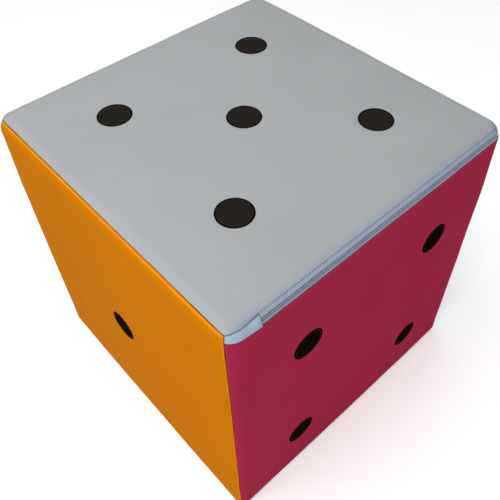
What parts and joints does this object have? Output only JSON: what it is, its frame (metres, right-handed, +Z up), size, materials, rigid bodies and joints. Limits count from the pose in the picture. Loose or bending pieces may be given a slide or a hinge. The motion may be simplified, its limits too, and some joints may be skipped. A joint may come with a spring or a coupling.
{
  "type": "soft play foam dice",
  "caption": "Large soft cube die: a foam core in a zipped leatherette cover with sewn-on round pips, whose top panel opens as a lid.",
  "frame": {"origin": "centre of the underside, where the die rests with its five on top", "axes": "+Z up through the five, -Y out of the four, -X out of the one; opposite faces add up to seven"},
  "size_m": [0.4, 0.4038, 0.4],
  "materials": {
    "foam": "matte",
    "top_leatherette": "satin",
    "front_leatherette": "satin",
    "left_leatherette": "satin",
    "right_leatherette": "satin",
    "back_leatherette": "satin",
    "bottom_leatherette": "satin",
    "pip_leatherette": "satin",
    "tab_leatherette": "satin",
    "zip_tape": "matte",
    "zip_coil": "satin",
    "zip_metal": "satin"
  },
  "bodies": {
    "cover": {"foam_core": "foam", "front_panel": "front_leatherette", "front_pip_1": "pip_leatherette", "front_pip_2": "pip_leatherette", "front_pip_3": "pip_leatherette", "front_pip_4": "pip_leatherette", "left_panel": "left_leatherette", "left_pip_1": "pip_leatherette", "right_panel": "right_leatherette", "right_pip_1": "pip_leatherette", "right_pip_2": "pip_leatherette", "right_pip_3": "pip_leatherette", "right_pip_4": "pip_leatherette", "right_pip_5": "pip_leatherette", "right_pip_6": "pip_leatherette", "back_panel": "back_leatherette", "back_pip_1": "pip_leatherette", "back_pip_2": "pip_leatherette", "back_pip_3": "pip_leatherette", "bottom_panel": "bottom_leatherette", "bottom_pip_1": "pip_leatherette", "bottom_pip_2": "pip_leatherette", "zip_tape_lower": "zip_tape", "zip_coil_lower": "zip_coil", "zip_top_stop": "zip_metal", "zip_bottom_stop": "zip_metal"},
    "lid": {"top_panel": "top_leatherette", "top_pip_1": "pip_leatherette", "top_pip_2": "pip_leatherette", "top_pip_3": "pip_leatherette", "top_pip_4": "pip_leatherette", "top_pip_5": "pip_leatherette", "zip_tape_upper": "zip_tape", "zip_coil_upper": "zip_coil", "zip_garage_tab": "tab_leatherette", "zip_end_tab": "tab_leatherette"},
    "slider": {"zip_slider": "zip_metal"}
  },
  "joints": [
    {"name": "lid_hinge", "type": "hinge", "parent": "cover", "child": "lid", "pos_m": [-0.19473, 0, 0.39473], "axis": [0, -1, 0], "range_deg": [0, 120]},
    {"name": "slider_run", "type": "slide", "parent": "cover", "child": "slider", "axis": [1, 0, 0], "range_m": [0, 0.34]}
  ]
}
